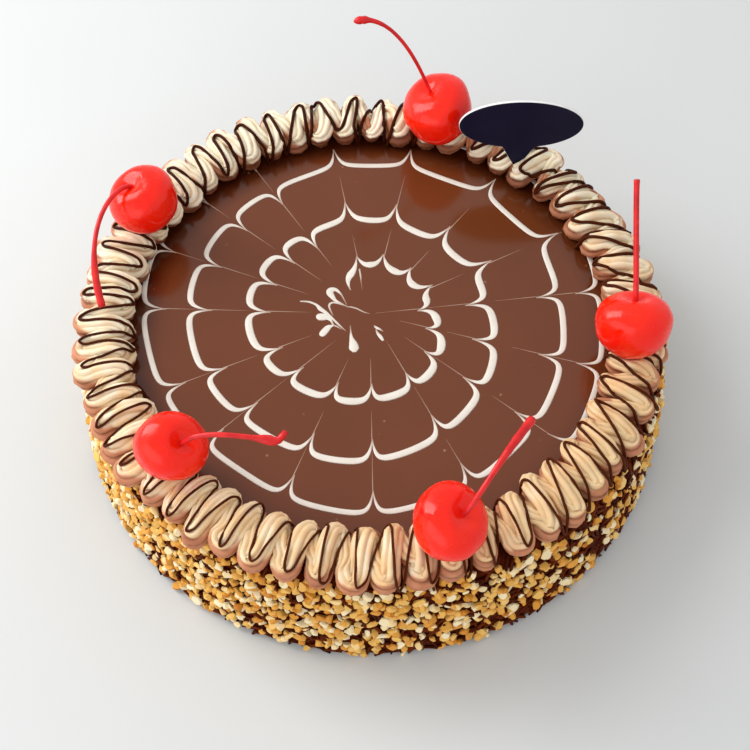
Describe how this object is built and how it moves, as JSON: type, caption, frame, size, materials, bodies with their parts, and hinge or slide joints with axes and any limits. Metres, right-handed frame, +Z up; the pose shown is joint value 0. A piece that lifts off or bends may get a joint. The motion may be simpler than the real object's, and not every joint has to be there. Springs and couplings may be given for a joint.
{
  "type": "chocolate drizzle cake",
  "caption": "Round chocolate cake with chopped nuts round its side, a glazed top, a piped cream border with a chocolate drizzle, stemmed cherries and a blank oval plaque.",
  "frame": {"origin": "centre of the flat underside of the cake", "axes": "+Z up through the middle of the cake, -Y towards the front, +X to the right seen from the front"},
  "size_m": [0.2195, 0.2188, 0.1087],
  "materials": {
    "nut_coat": "chopped roasted nuts and chocolate vermicelli on dark chocolate",
    "glaze": "glossy milk chocolate glaze with a feathered web of white icing",
    "cream": "two-tone whipped cream, cream over mocha, with a dark chocolate drizzle",
    "cherry": "syrupy, slightly translucent red fruit",
    "stem": "dyed red fruit stem",
    "plaque": "dark navy printed card with a pale cut edge"
  },
  "bodies": {
    "root": {"nut_coated_cake": "nut_coat", "chocolate_glaze": "glaze", "piped_border": "cream", "cherry_1": "cherry", "cherry_2": "cherry", "cherry_3": "cherry", "cherry_4": "cherry", "cherry_5": "cherry", "cherry_stem_1": "stem", "cherry_stem_2": "stem", "cherry_stem_3": "stem", "cherry_stem_4": "stem", "cherry_stem_5": "stem", "plaque": "plaque"}
  },
  "joints": []
}
